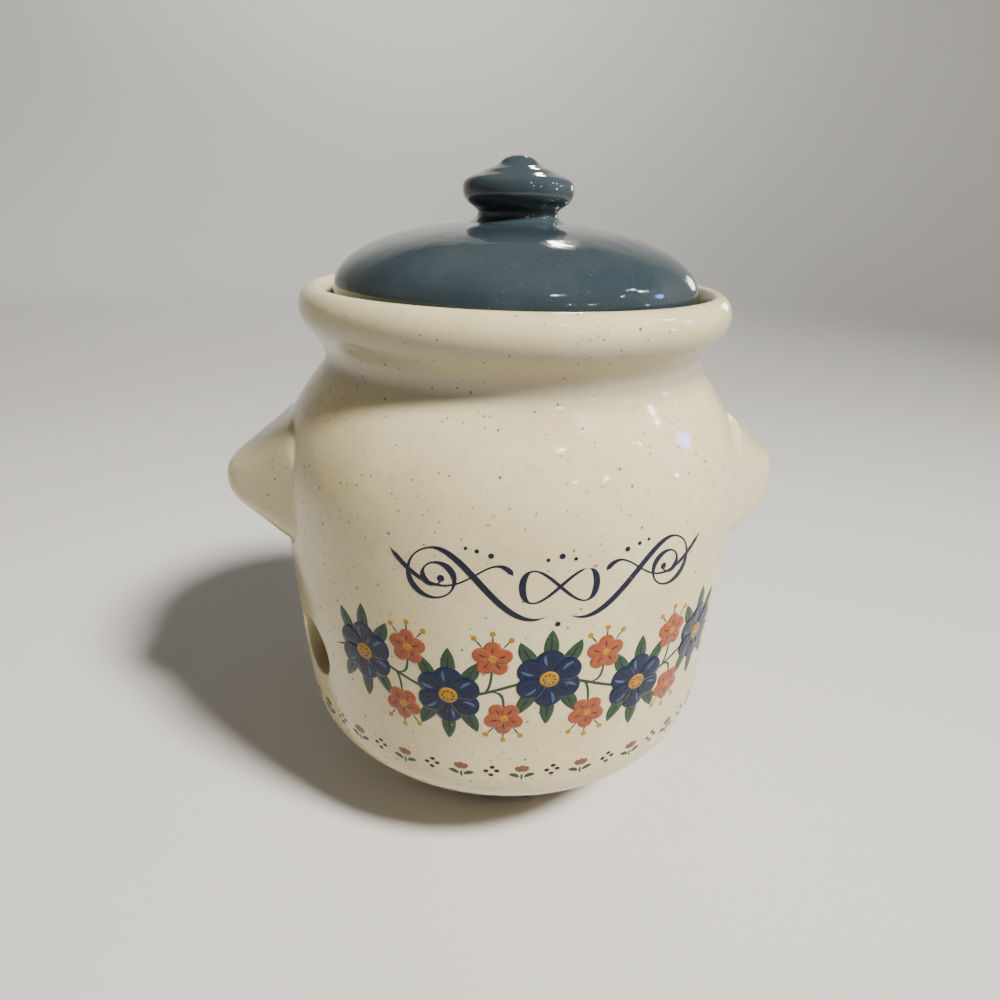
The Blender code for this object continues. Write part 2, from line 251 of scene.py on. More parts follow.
# The photograph's viewpoint: distance and height of the lens, its bearing and tilt
CAMERA_DISTANCE = 0.2016
CAMERA_HEIGHT = 0.1665
CAMERA_BEARING = math.radians(-8.5)
CAMERA_YAW = math.radians(-0.69)
CAMERA_PITCH = math.radians(-22.28)
CAMERA_ROLL = math.radians(1.65)
LENS_MM = 25.99
SENSOR_MM = 36.0
NEAREST_SEEN = 0.01

# The pale floor: its points round, where it starts to rise, how steeply, edge and shades
FLOOR_COLUMNS = 96
FLOOR_FLAT = 1.2
FLOOR_RISE = 1.3
FLOOR_EDGE = 2.4
FLOOR_SHADES = ((0.56, 0.545, 0.515, 1.0), (0.58, 0.565, 0.535, 1.0))

# Colours of the lamps and of the room, left and right
WARM = (1.0, 0.97, 0.90)
MILD = (1.0, 0.98, 0.94)
WASH = (1.0, 0.99, 0.97)
COOL = (0.08, 0.18, 1.0)
AMBER = (1.0, 0.91, 0.74)
ROOM_LEFT = (0.360, 0.270, 0.180, 1.0)
ROOM_RIGHT = (0.820, 0.790, 0.740, 1.0)

# The lamps' aim, the key's place, the washes' turn from behind and watts, and the small
# lamps behind the glints: name, degrees from the front towards the right, degrees up, size,
# watts and colour. The last stand at one distance from the pot.
AIM = np.array([0.0, 0.0, 0.12])
KEY_PLACE = (0.88, -0.87, 1.57)
WASHES = (("back", 0.0, 16.0), ("left", 90.0, 4.0), ("front", 180.0, 3.0),
          ("right", 270.0, 10.0))
GLINT_DISTANCE = 1.25
GLINTS = (("lamp_high", 22.0, 46.0, 0.050, 0.60, WARM),
          ("lamp_low", 23.0, 22.0, 0.040, 0.35, WARM),
          ("lamp_low_next", 38.0, 20.0, 0.040, 0.35, WARM),
          ("lamp_between", 66.0, 33.0, 0.040, 0.35, MILD),
          ("lamp_row_high", 82.0, 40.0, 0.060, 0.60, WARM),
          ("lamp_row_low", 86.0, 34.0, 0.060, 0.60, WARM),
          ("lamp_side_low", 75.0, 7.0, 0.040, 0.30, MILD),
          ("panel_cool", 91.0, 19.0, 0.160, 1.90, COOL),
          ("panel_far", 136.0, 9.0, 0.220, 1.00, WASH),
          ("lamp_behind", 163.0, 36.0, 0.070, 1.00, AMBER))


def bezier(start, pull_start, pull_end, end, steps):
    """Points of a cubic Bezier curve from just after its start to its end."""
    t = np.linspace(0.0, 1.0, steps + 1)[1:, None]
    corners = [np.array(p, float) for p in (start, pull_start, pull_end, end)]
    weights = ((1 - t) ** 3, 3 * t * (1 - t) ** 2, 3 * t * t * (1 - t), t ** 3)
    return sum(w * c for w, c in zip(weights, corners))


def line(start, end, steps):
    """Evenly spaced points of a straight run, from just after its start to its end."""
    t = np.linspace(0.0, 1.0, steps + 1)[1:, None]
    return (1 - t) * np.array(start, float) + t * np.array(end, float)


def eased(before, corner, after, size, steps):
    """A corner eased by a quadratic curve that leaves both its sides size away from it."""
    before, corner, after = (np.array(p, float) for p in (before, corner, after))
    first = corner + (before - corner) * min(1.0, size / np.linalg.norm(before - corner))
    last = corner + (after - corner) * min(1.0, size / np.linalg.norm(after - corner))
    t = np.linspace(0.0, 1.0, steps + 1)[:, None]
    return (1 - t) ** 2 * first + 2 * t * (1 - t) * corner + t * t * last


def offset_inward(points, distance):
    """Each point of a downward outline moved by distance, square to it, towards the axis."""
    run = np.gradient(points, axis=0)
    run /= np.linalg.norm(run, axis=1)[:, None]
    return points + distance * np.stack([run[:, 1], -run[:, 0]], axis=1)


def outer_wall():
    """The wall's outer outline, lip to foot: four Bezier curves of radius and height."""
    lip = (LIP_RADIUS, LIP_HEIGHT)
    neck = (NECK_RADIUS, NECK_HEIGHT)
    belly = (BELLY_RADIUS, BELLY_HEIGHT)
    heel = (HEEL_RADIUS, HEEL_HEIGHT)
    foot = (FOOT_RADIUS, FOOT_ROUND)
    lip_drop = LIP_HEIGHT - NECK_HEIGHT
    shoulder = NECK_HEIGHT - BELLY_HEIGHT
    belly_drop = BELLY_HEIGHT - HEEL_HEIGHT
    taper = BELLY_RADIUS - HEEL_RADIUS
    turn = HEEL_RADIUS - FOOT_RADIUS
    return np.vstack([
        [lip],
        bezier(lip, (LIP_RADIUS, LIP_HEIGHT - LIP_PULLS[0] * lip_drop),
               (NECK_RADIUS, NECK_HEIGHT + LIP_PULLS[1] * lip_drop), neck, 20),
        bezier(neck, (NECK_RADIUS, NECK_HEIGHT - SHOULDER_PULLS[0] * shoulder),
               (BELLY_RADIUS, BELLY_HEIGHT + SHOULDER_PULLS[1] * shoulder), belly, 34),
        bezier(belly, (BELLY_RADIUS, BELLY_HEIGHT - BELLY_PULLS[0] * belly_drop),
               (HEEL_RADIUS + BELLY_LEAN * taper, HEEL_HEIGHT + BELLY_PULLS[1] * belly_drop),
               heel, 34),
        bezier(heel, (HEEL_RADIUS - HEEL_LEANS[0] * turn, HEEL_PULLS[0] * HEEL_HEIGHT),
               (FOOT_RADIUS + HEEL_LEANS[1] * turn, HEEL_PULLS[1] * HEEL_HEIGHT), foot, 36),
    ])


OUTER = outer_wall()
OUTER_RUN = np.gradient(OUTER, axis=0)
OUTER_RUN /= np.linalg.norm(OUTER_RUN, axis=1)[:, None]
OUTER_NORMAL = np.stack([-OUTER_RUN[:, 1], OUTER_RUN[:, 0]], axis=1)
INNER = offset_inward(OUTER, WALL)
INNER = INNER[(OUTER[:, 1] <= NECK_HEIGHT + MERGE) & (INNER[:, 1] > BOWL_HEIGHT)]


def outer_radius(height):
    """The wall's outer radius at a height."""
    return np.interp(-height, -OUTER[:, 1], OUTER[:, 0])


def inner_radius(height):
    """The wall's inner radius at a height below the neck."""
    return np.interp(-height, -INNER[:, 1], INNER[:, 0])


def quads(rows, columns, first=0):
    """Corner numbers of the quads of a grid whose columns are joined round."""
    i, j = np.meshgrid(np.arange(rows - 1), np.arange(columns), indexing="ij")
    k = (j + 1) % columns
    faces = np.stack([i * columns + j, i * columns + k, (i + 1) * columns + k,
                      (i + 1) * columns + j], axis=-1)
    return first + faces.reshape(-1, 4)


def surface(name, points, faces, material, closed=True):
    """One smooth mesh from points and quads: doubles merged, and a closed one's faces
    turned outwards."""
    mesh = bpy.data.meshes.new(name)
    mesh.from_pydata(points.tolist(), [], faces.tolist())
    shape = bmesh.new()
    shape.from_mesh(mesh)
    bmesh.ops.remove_doubles(shape, verts=shape.verts, dist=MERGE)
    if closed:
        bmesh.ops.recalc_face_normals(shape, faces=shape.faces)
    shape.to_mesh(mesh)
    shape.free()
    mesh.shade_smooth()
    mesh.materials.append(material)
    thing = bpy.data.objects.new(name, mesh)
    bpy.context.scene.collection.objects.link(thing)
    return thing


def piece(name, points, faces, material, body):
    """A closed piece that rides on a body of the model."""
    thing = surface(name, points, faces, material)
    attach(thing, body)
    return thing


def turned_grid(outline, columns):
    """An outline of radius and height turned about Z: x = r sin a, y = -r cos a, z = h."""
    angle = np.linspace(0.0, math.tau, columns, endpoint=False)
    r, h = outline[:, :1], outline[:, 1:]
    return np.stack([r * np.sin(angle), -r * np.cos(angle), h + 0.0 * angle], axis=-1)


def wall_outline():
    """The whole wall as one closed outline: floor, inner face, ledge, rim, outer face, base."""
    floor = BASE_RECESS + FLOOR_THICKNESS
    throat = NECK_RADIUS - WALL
    turn = INNER[-1]
    bowl = bezier((0.0, floor), (BOWL_PULL * turn[0], floor),
                  (turn[0] - BOWL_TURN, turn[1] - BOWL_TURN), turn, 26)
    rim = (RIM_RADIUS, RIM_HEIGHT)
    wall_top = RIM_HEIGHT - RIM_INSIDE_DROP * (RIM_HEIGHT - SEAT_HEIGHT)
    ledge = eased((throat, NECK_HEIGHT), (throat, SEAT_HEIGHT),
                  (GALLERY_RADIUS, SEAT_HEIGHT), 1.6 * LEDGE_ROUND, 6)
    corner = eased((throat, SEAT_HEIGHT), (GALLERY_RADIUS, SEAT_HEIGHT),
                   (GALLERY_RADIUS, wall_top), 0.8 * LEDGE_ROUND, 4)
    ring_flat = FOOT_RADIUS - FOOT_ROUND
    ring_inside = FOOT_RADIUS - FOOT_WIDTH
    recess_edge = (ring_inside - BASE_RECESS, BASE_RECESS)
    ring_outer = eased(OUTER[-3], (ring_flat, 0.0), (ring_inside, 0.0), 1.3 * FOOT_ROUND, 5)
    ring_inner = eased((ring_flat, 0.0), (ring_inside, 0.0), recess_edge, FOOT_ROUND, 4)
    return np.vstack([
        [(0.0, floor)], bowl[:-1], INNER[::-1], line(INNER[0], ledge[0], 8)[:-1], ledge,
        line(ledge[-1], corner[0], 3)[:-1], corner,
        bezier(corner[-1], (GALLERY_RADIUS, wall_top),
               (RIM_RADIUS - RIM_INSIDE_PULL * (RIM_RADIUS - GALLERY_RADIUS), RIM_HEIGHT),
               rim, 9),
        bezier(rim, (RIM_RADIUS + RIM_PULL * (LIP_RADIUS - RIM_RADIUS), RIM_HEIGHT),
               (LIP_RADIUS, LIP_HEIGHT + RIM_PULL * (RIM_HEIGHT - LIP_HEIGHT)),
               (LIP_RADIUS, LIP_HEIGHT), 12),
        OUTER[1:-2], ring_outer, ring_inner, line(ring_inner[-1], recess_edge, 2),
        line(recess_edge, (0.0, BASE_RECESS), 8),
    ])


def vent_patch(edge, radius_at, out, across, inward):
    """The wall round a vent, as rings from the edge of a gap in the grid to the bore.

    In the vent's own plane a ring point is (1 - w) edge + w circle, laid back on the wall;
    the bore's mouth is then a quarter round of the softening's radius.
    """
    up = np.array([0.0, 0.0, 1.0])
    flat = np.stack([edge @ across, edge[:, 2] - VENT_HEIGHT], axis=-1)
    order = np.argsort(np.arctan2(flat[:, 1], flat[:, 0]))
    edge, flat = edge[order], flat[order]
    toward = flat / np.linalg.norm(flat, axis=1)[:, None]
    rings = [edge]
    for w in np.linspace(0.0, 1.0, VENT_ROWS + 1)[1:]:
        ring = (1 - w) * flat + w * (VENT_RADIUS + VENT_SOFTENING) * toward
        height = VENT_HEIGHT + ring[:, 1]
        reach = np.sqrt(radius_at(height) ** 2 - ring[:, 0] ** 2)
        rings.append(reach[:, None] * out + ring[:, :1] * across + height[:, None] * up)
    for turn in np.linspace(0.0, 0.5 * math.pi, VENT_ROWS + 1)[1:]:
        ring = (VENT_RADIUS + VENT_SOFTENING * (1 - math.sin(turn))) * toward
        depth = reach + inward * VENT_SOFTENING * (1 - math.cos(turn))
        height = VENT_HEIGHT + ring[:, 1:]
        rings.append(depth[:, None] * out + ring[:, :1] * across + height * up)
    return np.array(rings)


def crock_wall(material):
    """The thrown wall: a turned grid with a gap at each vent, filled by two patches, one
    outside and one inside, and joined by straight rows down the bore."""
    outline = wall_outline()
    rows = len(outline)
    grid = turned_grid(outline, POT_COLUMNS)
    angle = np.linspace(0.0, math.tau, POT_COLUMNS, endpoint=False)
    keep = np.ones((rows - 1, POT_COLUMNS), bool)
    points, faces = [grid.reshape(-1, 3)], []
    count = rows * POT_COLUMNS
    reach = VENT_RADIUS + VENT_MARGIN
    rim_row = int(np.argmax(outline[:, 1]))
    near_vent = np.abs(outline[:, 1] - VENT_HEIGHT) < reach
    outside = np.flatnonzero(near_vent & (np.arange(rows) > rim_row))
    tops = np.abs(outline[:rim_row, 1] - outline[outside[-1], 1])
    first_inside = int(np.argmin(np.where(outline[:rim_row, 0] > 0.5 * HEEL_RADIUS, tops, 1.0)))
    inside = np.arange(first_inside, first_inside + len(outside))
    for side in (-1.0, 1.0):
        out = np.array([side * math.sin(VENT_ANGLE), -math.cos(VENT_ANGLE), 0.0])
        across = np.array([side * math.cos(VENT_ANGLE), math.sin(VENT_ANGLE), 0.0])
        away = np.abs((angle - side * VENT_ANGLE + math.pi) % math.tau - math.pi)
        beside = np.flatnonzero(away < reach / HEEL_RADIUS)
        mouths = []
        for span, lie, inward in ((outside, outer_radius, -1.0), (inside, inner_radius, 1.0)):
            keep[span[0]:span[-1], beside[:-1]] = False
            block = np.zeros((len(span), len(beside)), bool)
            block[[0, -1], :] = True
            block[:, [0, -1]] = True
            edge = grid[span[0]:span[-1] + 1, beside[0]:beside[-1] + 1][block]
            mouths.append(vent_patch(edge, lie, out, across, inward))
        bore = np.array([(1 - w) * mouths[0][-1] + w * mouths[1][-1]
                         for w in np.linspace(0.0, 1.0, BORE_ROWS + 2)[1:-1]])
        rings = np.concatenate([mouths[0], bore, mouths[1][::-1]])
        points.append(rings.reshape(-1, 3))
        faces.append(quads(len(rings), rings.shape[1], count))
        count += rings.shape[0] * rings.shape[1]
    body = quads(rows, POT_COLUMNS).reshape(rows - 1, POT_COLUMNS, 4)[keep]
    thing = piece("crock_wall", np.vstack(points), np.vstack([body] + faces), material,
                  "pot")
    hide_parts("pot_wall")


def lug_limits(reach, form):
    """Lowest and highest point of a lug at each reach: slopes that meet in a round tip."""
    tip_height, top_rise, drop, tip_round = form
    centre = BELLY_RADIUS + LUG_REACH - tip_round
    run = centre - BELLY_RADIUS
    limits = []
    for rise, side in ((drop, -1.0), (top_rise, 1.0)):
        lean = math.atan2(rise, run) - math.asin(tip_round / math.hypot(rise, run))
        touch = centre + tip_round * math.sin(lean)
        slope = tip_round * math.cos(lean) + (touch - reach) * math.tan(lean)
        slope = np.minimum(slope, rise + LUG_CROWN)
        nose = np.sqrt(np.maximum(tip_round ** 2 - (reach - centre) ** 2, 0.0))
        limits.append(tip_height + side * np.where(reach > touch, nose, slope))
    return limits


def lug_half_width(reach):
    """Half the width of a lug at each reach: a round nose, then straight flanks to the wall."""
    centre = BELLY_RADIUS + LUG_REACH - LUG_NOSE_ROUND
    run = centre - math.sqrt(BELLY_RADIUS ** 2 - LUG_HALF_WIDTH ** 2)
    lean = math.atan2(LUG_HALF_WIDTH, run) - math.asin(
        LUG_NOSE_ROUND / math.hypot(LUG_HALF_WIDTH, run))
    touch = centre + LUG_NOSE_ROUND * math.sin(lean)
    flank = LUG_NOSE_ROUND * math.cos(lean) + (touch - reach) * math.tan(lean)
    flank = np.minimum(flank, LUG_HALF_WIDTH)
    nose = np.sqrt(np.maximum(LUG_NOSE_ROUND ** 2 - (reach - centre) ** 2, 0.0))
    return np.where(reach > touch, nose, flank)


def signed_power(value, power):
    """A value raised to a power with its sign kept."""
    return np.sign(value) * np.abs(value) ** power


def lug(name, node, side, material):
    """A beak-shaped lug: rounded-rectangle sections out to a round tip, filleted to the wall.

    A section is |across/width|^n + |up/height|^n = 1, and n falls towards the tip. Each
    column of points is followed inwards until it is one fillet radius off the wall, then it
    turns out along a quarter round until it lies on the wall, and ends inside it.
    """
    form = LUG_FORMS[node]
    tip = BELLY_RADIUS + LUG_REACH
    turns = np.linspace(0.0, math.tau, LUG_COLUMNS, endpoint=False)

    def outline(reach):
        inward = np.clip((tip - reach) / LUG_REACH, 0.0, 1.0)
        power = LUG_TIP_POWER + (LUG_ROOT_POWER - LUG_TIP_POWER) * inward
        across = signed_power(np.cos(turns), 2.0 / power)
        up = signed_power(np.sin(turns), 2.0 / power)
        return across, up, power

    def section(reach):
        across, up, _ = outline(reach)
        low, high = lug_limits(reach, form)
        return lug_half_width(reach) * across, 0.5 * (low + high) + 0.5 * (high - low) * up

    def reach_at(distance):
        inner = np.full(np.broadcast(distance, turns).shape, BELLY_RADIUS - LUG_SEARCH_DEPTH)
        outer = np.full_like(inner, tip)
        for _ in range(HALVINGS):
            middle = 0.5 * (inner + outer)
            y, z = section(middle)
            outside = np.hypot(middle, y) - outer_radius(z) > distance
            outer = np.where(outside, middle, outer)
            inner = np.where(outside, inner, middle)
        return outer

    root = reach_at(LUG_FILLET)
    share = np.sin(np.linspace(0.0, 0.5 * math.pi, LUG_ROWS))[::-1, None]
    reach = root + (tip - root) * share
    y, z = section(reach)
    rows = [np.stack([side * reach, y, z], axis=-1)]

    turn = np.linspace(0.0, 0.5 * math.pi, FILLET_ROWS + 1)[1:, None]
    last_flare = [LUG_FILLET + LUG_EDGE_FLARE]
    distance = np.vstack([LUG_FILLET * (1 - np.sin(turn)), [[-LUG_EDGE_DEPTH]],
                          [[-LUG_ROOT_DEPTH]]])
    flare = np.vstack([LUG_FILLET * (1 - np.cos(turn)), [last_flare], [last_flare]])
    reach = reach_at(np.maximum(distance, 0.0))
    y, z = section(reach)
    low, high = lug_limits(reach, form)
    wide, tall = lug_half_width(reach), 0.5 * (high - low)
    across, up, power = outline(reach)
    lean_y = signed_power(across, power - 1.0) / wide
    lean_z = signed_power(up, power - 1.0) / tall
    size = np.hypot(lean_y, lean_z)
    y = y + flare * lean_y / size
    z = z + flare * lean_z / size
    radius = outer_radius(z) + distance
    rows.append(np.stack([side * np.sqrt(radius ** 2 - y ** 2), y, z], axis=-1))
    cap = rows[-1][-1].mean(axis=0) + 0.0 * rows[-1][-1]
    rows.append(cap[None])
    grid = np.concatenate(rows)
    thing = piece(name, grid.reshape(-1, 3), quads(len(grid), LUG_COLUMNS), material,
                  "pot")
    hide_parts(node)


def lid_outline():
    """The lid as one closed outline: dome, tucked edge, seat, flange and hollow underside."""
    edge = LID_SEAT + LID_EDGE_HEIGHT
    rise = LID_TOP - edge
    run = LID_RADIUS - KNOB_FOOT_RADIUS
    dome = np.vstack([
        [(KNOB_FOOT_RADIUS, LID_TOP)],
        bezier((KNOB_FOOT_RADIUS, LID_TOP),
               (KNOB_FOOT_RADIUS + LID_DOME_PULLS[0] * run, LID_TOP - LID_DOME_PULLS[1] * rise),
               (LID_RADIUS - LID_EDGE_PULLS[0] * run, edge + LID_EDGE_PULLS[1] * rise),
               (LID_RADIUS, edge), 60)])
    flange_inside = FLANGE_OUTSIDE - FLANGE_WALL
    flange_end = LID_SEAT - FLANGE_DEPTH
    under = offset_inward(dome, LID_SHELL)
    under = under[under[:, 0] < flange_inside - HOLLOW_INSET]
    tuck = (LID_RADIUS - LID_TUCK, LID_SEAT)
    seat_in = (FLANGE_OUTSIDE, LID_SEAT)
    edge_round = bezier((LID_RADIUS, edge), (LID_RADIUS, edge - LID_EDGE_DROP),
                        (LID_RADIUS - LID_TUCK_PULL[0], LID_SEAT + LID_TUCK_PULL[1]), tuck, 12)
    end_out = eased(seat_in, (FLANGE_OUTSIDE, flange_end), (flange_inside, flange_end),
                    FLANGE_ROUND, 5)
    end_in = eased((FLANGE_OUTSIDE, flange_end), (flange_inside, flange_end),
                   (flange_inside, LID_SEAT), FLANGE_ROUND, 5)
    crown = eased(end_in[-1], (flange_inside, under[-1][1] - HOLLOW_DROP), under[-1],
                  HOLLOW_ROUND, 6)
    return np.vstack([
        [(0.0, LID_TOP)], line((0.0, LID_TOP), dome[0], 6)[:-1], dome, edge_round,
        line(tuck, seat_in, 4), end_out, end_in, line(end_in[-1], crown[0], 4)[:-1], crown,
        under[::-1], line(under[0], (0.0, under[0][1]), 5),
    ])


def knob_outline():
    """The knob as one closed outline: small crown, wide bulb, narrow neck, flared foot."""
    foot = LID_TOP + GAP
    height = KNOB_TOP - foot
    neck = foot + KNOB_NECK_SHARE * height
    bulb = foot + KNOB_BULB_SHARE * height
    tip = foot + KNOB_TIP_SHARE * height
    crown_side = (CROWN_SIDE_SHARES[0] * KNOB_TIP_RADIUS,
                  tip + CROWN_SIDE_SHARES[1] * (KNOB_TOP - tip))
    fold = (KNOB_TIP_RADIUS + KNOB_FOLD[0], tip - KNOB_FOLD[1])
    widest = (KNOB_RADIUS, bulb)
    narrowest = (KNOB_NECK_RADIUS, neck)
    return np.vstack([
        [(0.0, KNOB_TOP)],
        bezier((0.0, KNOB_TOP), (0.44 * KNOB_TIP_RADIUS, KNOB_TOP),
               (0.63 * KNOB_TIP_RADIUS, KNOB_TOP - 0.0008), crown_side, 16),
        bezier(crown_side, (0.90 * KNOB_TIP_RADIUS, tip + 0.0001),
               (KNOB_TIP_RADIUS + 0.0013, tip - 0.0001), fold, 16),
        bezier(fold, (KNOB_TIP_RADIUS + 0.0058, tip - 0.0025), (KNOB_RADIUS, bulb + 0.0032),
               widest, 24),
        bezier(widest, (KNOB_RADIUS, bulb - 0.0040), (KNOB_NECK_RADIUS, neck + 0.0016),
               narrowest, 24),
        bezier(narrowest, (KNOB_NECK_RADIUS, LID_TOP + 0.0006),
               (KNOB_FOOT_RADIUS, LID_TOP + 0.0002),
               (KNOB_FOOT_RADIUS + KNOB_FLARE, LID_TOP - KNOB_SINK), 14),
        [(0.0, LID_TOP - KNOB_SINK)],
    ])


def turned_piece(name, node, outline, columns, material):
    """A closed outline turned about Z, standing for a node of the lid."""
    grid = turned_grid(outline, columns)
    thing = piece(name, grid.reshape(-1, 3), quads(len(outline), columns), material, "lid")
    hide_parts(node)


def on_wall(along, height, proud):
    """Points on the outer wall: along is an arc at the prints' radius from the middle of the
    decorated face towards +X, and proud is how far the point stands off the glaze."""
    lean_out = np.interp(-height, -OUTER[:, 1], OUTER_NORMAL[:, 0])
    lean_up = np.interp(-height, -OUTER[:, 1], OUTER_NORMAL[:, 1])
    radius = outer_radius(height) + proud * lean_out
    angle = along / PRINT_RADIUS
    return np.stack([radius * np.sin(angle), -radius * np.cos(angle),
                     height + proud * lean_up], axis=-1)


def stroke(path, half_width, layer=0):
    """A flat stroke of glaze colour: its path is points (along, height), and across the path
    it runs from -half width to +half width, with edges that fall to the wall."""
    run = np.gradient(path, axis=0)
    run /= np.maximum(np.linalg.norm(run, axis=1), 1e-12)[:, None]
    square = np.stack([-run[:, 1], run[:, 0]], axis=1)
    flat = path[:, None] + (half_width[:, None] * STROKE_ACROSS)[..., None] * square[:, None]
    proud = STROKE_LEVEL * (PRINT_PROUD + layer * PRINT_LAYER) + 0.0 * flat[..., 0]
    proud *= np.minimum(1.0, half_width / (STROKE_END * half_width.max()))[:, None]
    return on_wall(flat[..., 0], flat[..., 1], proud)


def blade(base, direction, length, width, bend=0.0, fullness=1.0, lean=1.0, layer=0, steps=15):
    """A leaf, petal or dot: half width = width/2 (4 s (1 - s))^fullness, s = t^lean, along a
    path that bows sideways by bend times its length."""
    t = 0.5 - 0.5 * np.cos(np.linspace(0.0, math.pi, steps))
    ahead = np.array([math.cos(direction), math.sin(direction)])
    aside = np.array([-ahead[1], ahead[0]])
    bowed = t[:, None] * ahead + (4 * bend * t * (1 - t))[:, None] * aside
    path = np.array(base) + length * bowed
    s = t ** lean
    return stroke(path, 0.5 * width * np.maximum(4 * s * (1 - s), 0.0) ** fullness, layer)


def dot(middle, width, layer=0, steps=9):
    """A round spot."""
    return blade((middle[0] - 0.5 * width, middle[1]), 0.0, width, width, fullness=0.5,
                 layer=layer, steps=steps)


def print_piece(name, strokes, material):
    """All strokes of one colour as one piece: each is a closed flat tube with merged ends."""
    points, faces, count = [], [], 0
    for grid in strokes:
        rows, columns = grid.shape[:2]
        grid = grid.copy()
        grid[0], grid[-1] = grid[0].mean(axis=0), grid[-1].mean(axis=0)
        points.append(grid.reshape(-1, 3))
        faces.append(quads(rows, columns, count))
        count += rows * columns
    piece(name, np.vstack(points), np.vstack(faces), material, "pot")


def border(inks):
    """The border round the foot: small tulips and groups of four dots in turn."""
    pink, leaf, dark = [], [], []
    step = math.tau / BORDER_MOTIFS * PRINT_RADIUS
    z = BORDER_HEIGHT
    for n in range(BORDER_MOTIFS):
        x = BORDER_START * PRINT_RADIUS + n * step
        if n % 2 == 0:
            for turn, length in ((138, 0.0023), (90, 0.0021), (42, 0.0023)):
                pink.append(blade((x, z), math.radians(turn), length, width=0.0017,
                                  fullness=0.5, layer=0.4 * (turn == 90), steps=9))
            for turn, bow in ((160, -0.10), (20, 0.10)):
                foot = (x + 0.0006 * math.copysign(1.0, bow), z - 0.0021)
                leaf.append(blade(foot, math.radians(turn), length=0.0030, width=0.0013,
                                  bend=bow, fullness=0.8, steps=11))
            leaf.append(blade((x, z - 0.0030), math.radians(90), length=0.0021, width=0.0006,
                              fullness=0.4, layer=1, steps=7))
        else:
            for dx, dz in ((-0.0014, -0.0001), (0.0014, 0.0001), (0.0002, 0.0013),
                           (-0.0001, -0.0014)):
                dark.append(blade((x + dx - 0.0007, z + dz), 0.0, length=0.0014, width=0.0011,
                                  fullness=0.5, steps=9))
    print_piece("border_tulips", pink, inks["pink"])
    print_piece("border_leaves", leaf, inks["leaf"])
    print_piece("border_dots", dark, inks["dark"])


def rays(middle, count, start, near, length, width, layer=0, **form):
    """Blades that stand in a ring round a middle, each next one a hair above the last."""
    made = []
    for n in range(count):
        turn = start + math.tau * n / count
        base = (middle[0] + near * math.cos(turn), middle[1] + near * math.sin(turn))
        made.append(blade(base, turn, length, width, layer=layer + 0.3 * (n % 3), **form))
    return made


def stem(along):
    """Height of the garland's stem, a cosine wave, at a place beside its middle."""
    return STEM_HEIGHT + STEM_WAVE * np.cos(math.tau * along / STEM_PERIOD)


def blossom(inked, middle):
    """A six-petalled blossom with three leaves above it and three below."""
    for side in (-1, 1):
        for lean in (-34, 0, 34):
            turn = math.radians(90 * side + lean)
            length = 0.0090 if lean else 0.0100
            foot = np.array(middle) + 0.0036 * np.array([math.cos(turn), math.sin(turn)])
            bow = 0.08 * math.copysign(1.0, lean) if lean else 0.0
            inked["leaf"].append(blade(foot, turn, length, width=0.0036, bend=bow,
                                       fullness=0.9, layer=1, steps=17))
            inked["dark"].append(blade(foot, turn, 0.88 * length, width=0.00028, bend=bow,
                                       layer=3))
    turn = math.pi / 2
    inked["navy"] += rays(middle, 6, turn, near=0.0008, length=0.0074, width=0.0070, layer=4,
                          fullness=0.55, lean=1.3)
    inked["sky"] += rays(middle, 6, turn + 0.16, near=0.0038, length=0.0034, width=0.0008,
                         layer=6, bend=0.10)
    inked["dark"] += rays(middle, 6, turn - 0.12, near=0.0026, length=0.0040, width=0.00032,
                          layer=6, bend=-0.06)
    inked["dark"] += rays(middle, 6, turn + math.pi / 6, near=0.0022, length=0.0042,
                          width=0.00030, layer=6)
    inked["ochre"].append(dot(middle, 0.0046, layer=8, steps=17))
    inked["dark"] += rays(middle, 8, 0.0, near=0.0011, length=0.0005, width=0.00045, layer=10,
                          fullness=0.5, steps=7)


def sprig(inked, place, height):
    """A small blossom on a twig from the stem, with three buds on stalks."""
    middle = np.array([GARLAND_MIDDLE + place, STEM_HEIGHT + height])
    rise = math.copysign(1.0, height)
    back = (place - 0.0034, float(stem(place - 0.0034)))
    path = bezier(back, (back[0] + 0.0030, back[1]), (place, STEM_HEIGHT + 0.2 * height),
                  (place, STEM_HEIGHT + height), 24) + (GARLAND_MIDDLE, 0.0)
    inked["leaf"].append(stroke(path, 0.00034 * np.sin(np.linspace(0.3, 2.9, 24))))
    for lean in (-38, 0, 38):
        turn = math.radians(90 * rise + lean)
        away = np.array([math.cos(turn), math.sin(turn)])
        inked["leaf"].append(blade(middle + 0.0036 * away, turn, length=0.0030, width=0.00040,
                                   steps=7))
        inked["ochre"].append(dot(middle + 0.0068 * away, 0.0014, layer=1))
    turn = rise * math.pi / 2
    inked["coral"] += rays(middle, 5, turn, near=0.0004, length=0.0044, width=0.0042, layer=4,
                           fullness=0.5)
    inked["dark"] += rays(middle, 5, turn, near=0.0015, length=0.0018, width=0.00028, layer=6)
    inked["ochre"].append(dot(middle, 0.0021, layer=8, steps=11))


def garland(inks):
    """A folk garland: blossoms on a waving stem, with fans of leaves, smaller blossoms and
    sprigs of buds, the same to both sides of its middle."""
    inked = {"navy": [], "coral": [], "leaf": [], "ochre": [], "dark": [], "sky": []}
    along = np.linspace(-STEM_END, STEM_END, 280)
    ends = np.minimum(1.0, (STEM_END - np.abs(along)) / STEM_TAPER)
    path = np.stack([along + GARLAND_MIDDLE, stem(along)], axis=1)
    inked["leaf"].append(stroke(path, 0.00040 * np.maximum(ends, 0.0)))
    for place in BLOSSOMS:
        blossom(inked, (GARLAND_MIDDLE + place, float(stem(place))))
    for place, height in SPRIGS:
        for side in (-1, 1):
            sprig(inked, side * place, height)
    for name, strokes in inked.items():
        print_piece("garland_" + name, strokes, inks[name])


